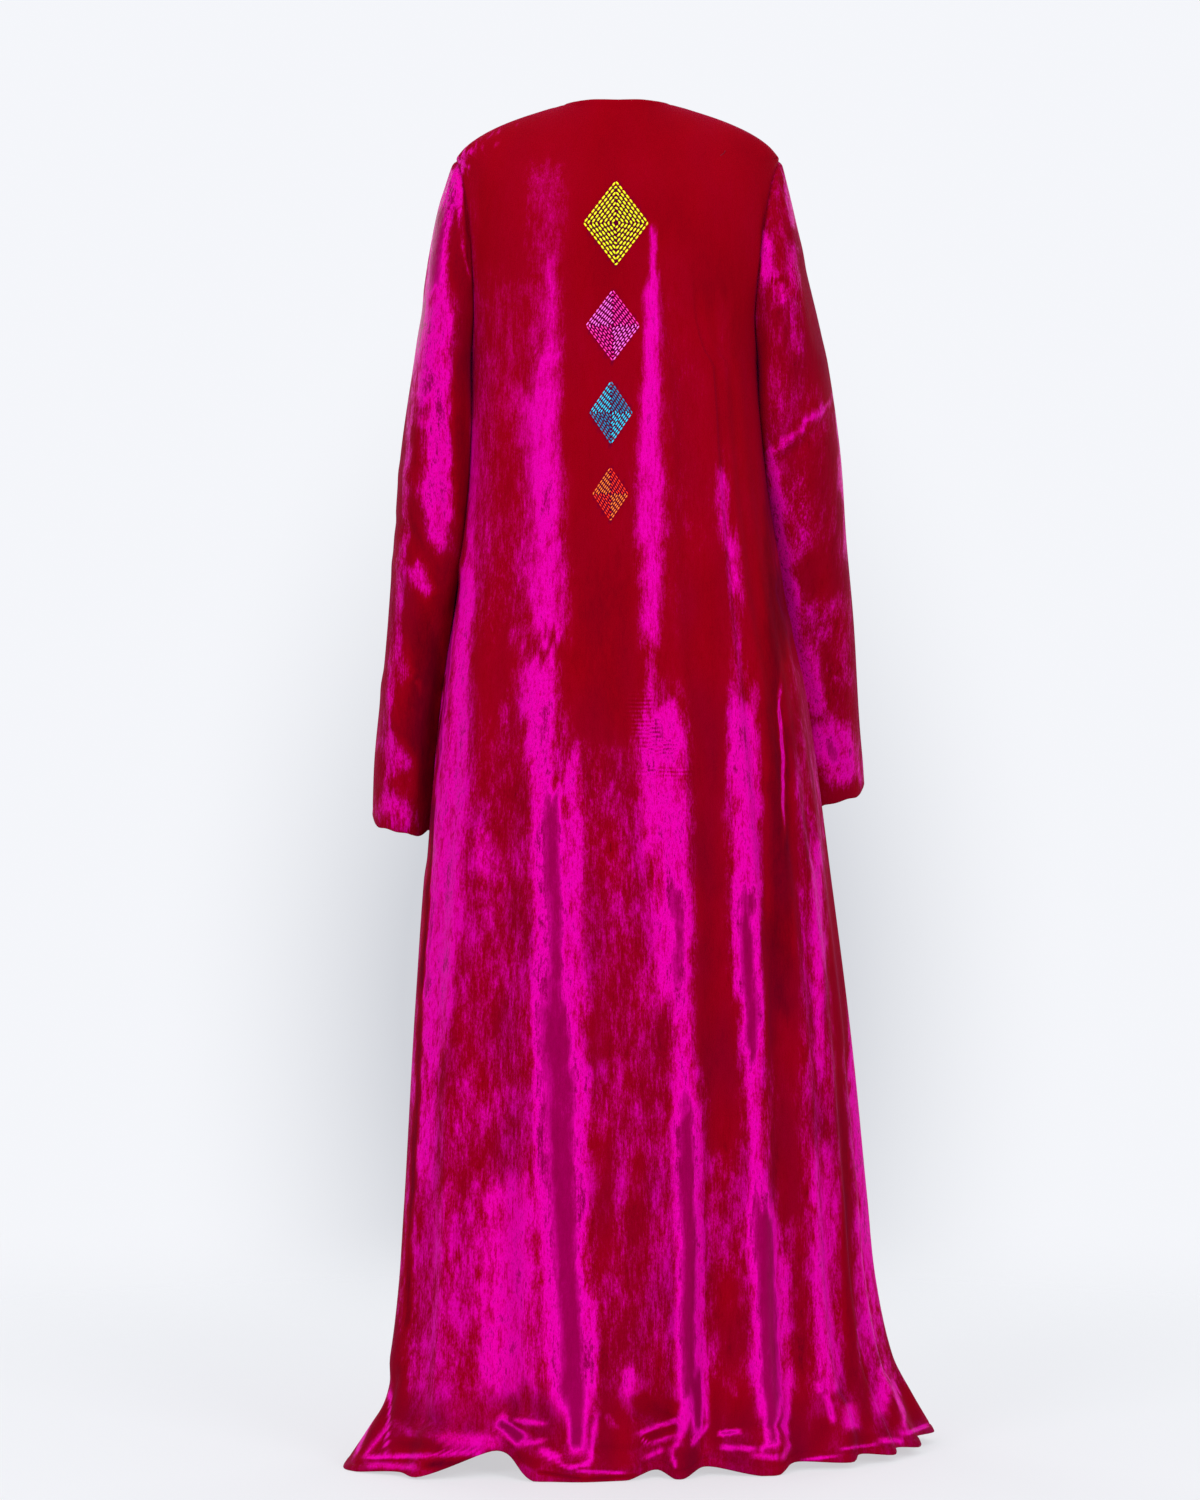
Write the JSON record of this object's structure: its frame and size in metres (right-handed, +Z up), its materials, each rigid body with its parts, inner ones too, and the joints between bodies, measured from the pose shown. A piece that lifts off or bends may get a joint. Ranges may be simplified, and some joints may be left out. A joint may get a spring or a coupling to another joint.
{
  "type": "bisht",
  "caption": "Floor-length open-fronted robe of two-tone velvet in its hollow worn shape, with long narrow sleeves and a round collarless neck.",
  "frame": {"origin": "midway between the two shoulder tips, at their height, where the wearer's shoulders carry the robe", "axes": "+Z up, -Y the way the wearer faces, +X the wearer's left"},
  "size_m": [0.6639, 0.4232, 1.5172],
  "materials": {
    "velvet": "two-tone velvet, crimson with a magenta pile"
  },
  "bodies": {
    "root": {"back": "velvet", "front_left": "velvet", "front_right": "velvet", "sleeve_left": "velvet", "sleeve_right": "velvet"}
  },
  "joints": []
}
